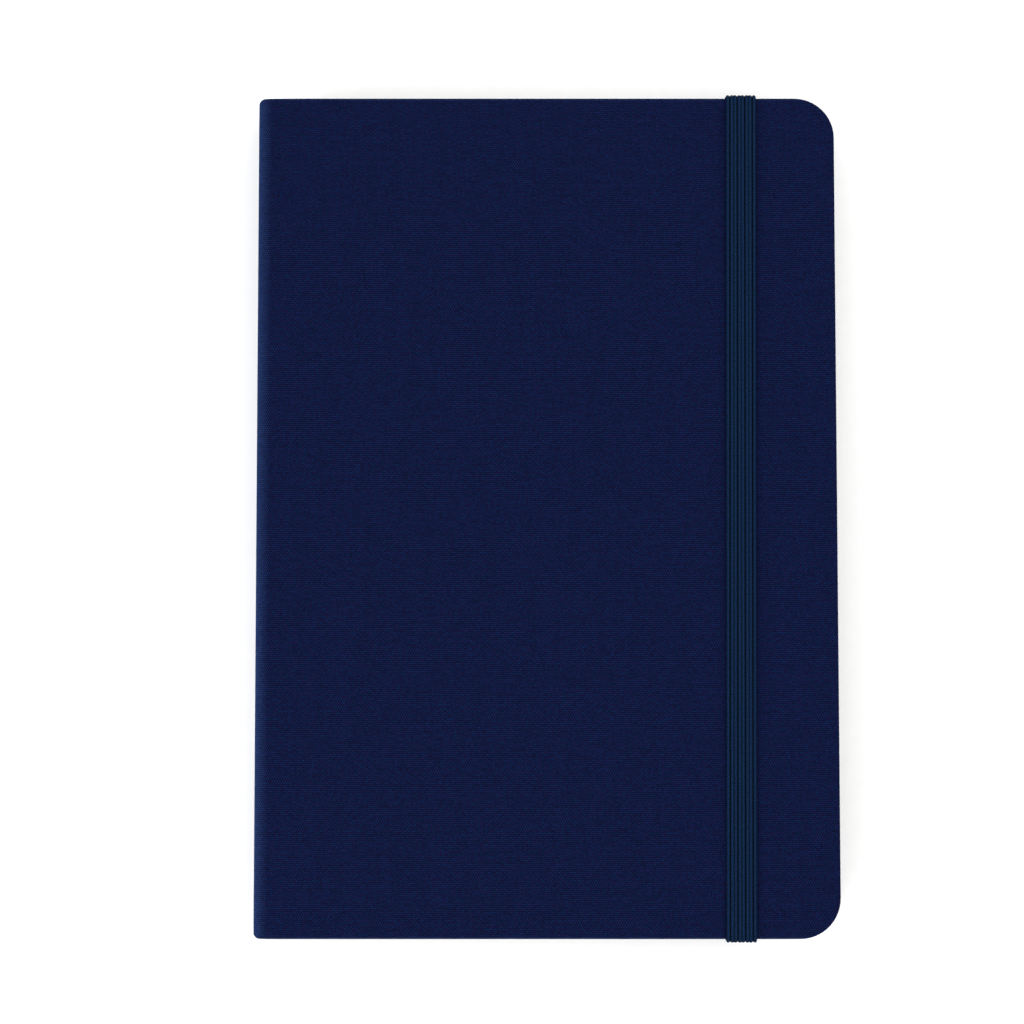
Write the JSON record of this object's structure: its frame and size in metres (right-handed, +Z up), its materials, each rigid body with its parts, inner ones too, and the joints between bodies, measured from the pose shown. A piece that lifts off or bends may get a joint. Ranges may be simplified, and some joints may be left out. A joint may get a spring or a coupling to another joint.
{
  "type": "pilot logbook",
  "caption": "Cloth-bound hardback logbook with sewn sections of leaves, opening flat on two spine joints, held shut by an elastic band.",
  "frame": {"origin": "on the surface it lies on, below the centre of the closed book's bounding box", "axes": "+X from spine to fore edge, +Y from tail to head, +Z up through the front cover"},
  "size_m": [0.145, 0.2118, 0.0182],
  "materials": {
    "book_cloth": "navy linen-weave book cloth, matt",
    "greyboard": "grey binder's board",
    "writing_paper": "uncoated ivory writing paper",
    "endpaper": "uncoated ivory endpaper",
    "mull": "open cotton gauze, glue-stiffened",
    "kraft_paper": "brown kraft lining paper",
    "linen_thread": "waxed linen thread",
    "headband_cotton": "corded cotton headband",
    "woven_elastic": "ribbed woven elastic, dark navy"
  },
  "bodies": {
    "back_cover": {"back_board": "greyboard", "back_cloth": "book_cloth", "mull_back_flange": "mull", "back_pastedown": "endpaper", "back_flyleaf": "endpaper", "elastic_head_end": "woven_elastic", "elastic_tail_end": "woven_elastic"},
    "spine": {"spine_board": "greyboard", "spine_cloth": "book_cloth", "front_joint_cloth": "book_cloth", "back_joint_cloth": "book_cloth", "spine_lining": "kraft_paper", "spine_mull": "mull", "headband": "headband_cotton", "tailband": "headband_cotton"},
    "front_cover": {"front_board": "greyboard", "front_cloth": "book_cloth", "mull_front_flange": "mull", "front_pastedown": "endpaper", "front_flyleaf": "endpaper"},
    "elastic_band": {"elastic_front_run": "woven_elastic", "elastic_head_wrap": "woven_elastic", "elastic_tail_wrap": "woven_elastic"},
    "leaves_01": {"section_01": "writing_paper", "thread_01": "linen_thread"},
    "leaves_02": {"section_02": "writing_paper", "thread_02": "linen_thread"},
    "leaves_03": {"section_03": "writing_paper", "thread_03": "linen_thread"},
    "leaves_04": {"section_04": "writing_paper", "thread_04": "linen_thread"},
    "leaves_05": {"section_05": "writing_paper", "thread_05": "linen_thread"},
    "leaves_06": {"section_06": "writing_paper", "thread_06": "linen_thread"},
    "leaves_07": {"section_07": "writing_paper", "thread_07": "linen_thread"},
    "leaves_08": {"section_08": "writing_paper", "thread_08": "linen_thread"},
    "leaves_09": {"section_09": "writing_paper", "thread_09": "linen_thread"},
    "leaves_10": {"section_10": "writing_paper", "thread_10": "linen_thread"},
    "leaves_11": {"section_11": "writing_paper", "thread_11": "linen_thread"},
    "leaves_12": {"section_12": "writing_paper", "thread_12": "linen_thread"}
  },
  "joints": [
    {"name": "book_opening", "type": "hinge", "parent": "back_cover", "child": "spine", "pos_m": [-0.071, 0, 0.0015], "axis": [0, -1, 0], "range_deg": [0, 90], "deforming": ["back_joint_cloth", "front_joint_cloth"]},
    {"name": "front_cover_opening", "type": "hinge", "parent": "spine", "child": "front_cover", "pos_m": [-0.071, 0, 0.01575], "axis": [0, -1, 0], "range_deg": [0, 90]},
    {"name": "leaves_12_shift", "type": "slide", "parent": "back_cover", "child": "leaves_12", "axis": [-1, 0, 0], "range_m": [0, 0.00126]},
    {"name": "leaves_11_shift", "type": "slide", "parent": "back_cover", "child": "leaves_11", "axis": [-1, 0, 0], "range_m": [0, 0.00251]},
    {"name": "leaves_10_shift", "type": "slide", "parent": "back_cover", "child": "leaves_10", "axis": [-1, 0, 0], "range_m": [0, 0.00376]},
    {"name": "leaves_09_shift", "type": "slide", "parent": "back_cover", "child": "leaves_09", "axis": [-1, 0, 0], "range_m": [0, 0.00501]},
    {"name": "leaves_08_shift", "type": "slide", "parent": "back_cover", "child": "leaves_08", "axis": [-1, 0, 0], "range_m": [0, 0.00626]},
    {"name": "leaves_07_shift", "type": "slide", "parent": "back_cover", "child": "leaves_07", "axis": [-1, 0, 0], "range_m": [0, 0.00751]},
    {"name": "leaves_01_shift", "type": "slide", "parent": "front_cover", "child": "leaves_01", "axis": [-1, 0, 0], "range_m": [0, 0.00126]},
    {"name": "leaves_02_shift", "type": "slide", "parent": "front_cover", "child": "leaves_02", "axis": [-1, 0, 0], "range_m": [0, 0.00251]},
    {"name": "leaves_03_shift", "type": "slide", "parent": "front_cover", "child": "leaves_03", "axis": [-1, 0, 0], "range_m": [0, 0.00376]},
    {"name": "leaves_04_shift", "type": "slide", "parent": "front_cover", "child": "leaves_04", "axis": [-1, 0, 0], "range_m": [0, 0.00501]},
    {"name": "leaves_05_shift", "type": "slide", "parent": "front_cover", "child": "leaves_05", "axis": [-1, 0, 0], "range_m": [0, 0.00626]},
    {"name": "leaves_06_shift", "type": "slide", "parent": "front_cover", "child": "leaves_06", "axis": [-1, 0, 0], "range_m": [0, 0.00751]},
    {"name": "elastic_band_release", "type": "slide", "parent": "back_cover", "child": "elastic_band", "axis": [0.8896, 0, -0.4567], "range_m": [0, 0.03382], "deforming": ["elastic_front_run", "elastic_head_wrap", "elastic_tail_wrap"]}
  ],
  "couplings": [
    {"joint": "front_cover_opening", "follows": "book_opening", "ratio": 1},
    {"joint": "leaves_12_shift", "follows": "book_opening", "m_per_rad": 0.00079577},
    {"joint": "leaves_11_shift", "follows": "book_opening", "m_per_rad": 0.0015915},
    {"joint": "leaves_10_shift", "follows": "book_opening", "m_per_rad": 0.0023873},
    {"joint": "leaves_09_shift", "follows": "book_opening", "m_per_rad": 0.0031831},
    {"joint": "leaves_08_shift", "follows": "book_opening", "m_per_rad": 0.0039789},
    {"joint": "leaves_07_shift", "follows": "book_opening", "m_per_rad": 0.0047747},
    {"joint": "leaves_01_shift", "follows": "book_opening", "m_per_rad": 0.00079577},
    {"joint": "leaves_02_shift", "follows": "book_opening", "m_per_rad": 0.0015915},
    {"joint": "leaves_03_shift", "follows": "book_opening", "m_per_rad": 0.0023873},
    {"joint": "leaves_04_shift", "follows": "book_opening", "m_per_rad": 0.0031831},
    {"joint": "leaves_05_shift", "follows": "book_opening", "m_per_rad": 0.0039789},
    {"joint": "leaves_06_shift", "follows": "book_opening", "m_per_rad": 0.0047747},
    {"joint": "elastic_band_release", "follows": "book_opening", "m_per_rad": 0.021468}
  ]
}
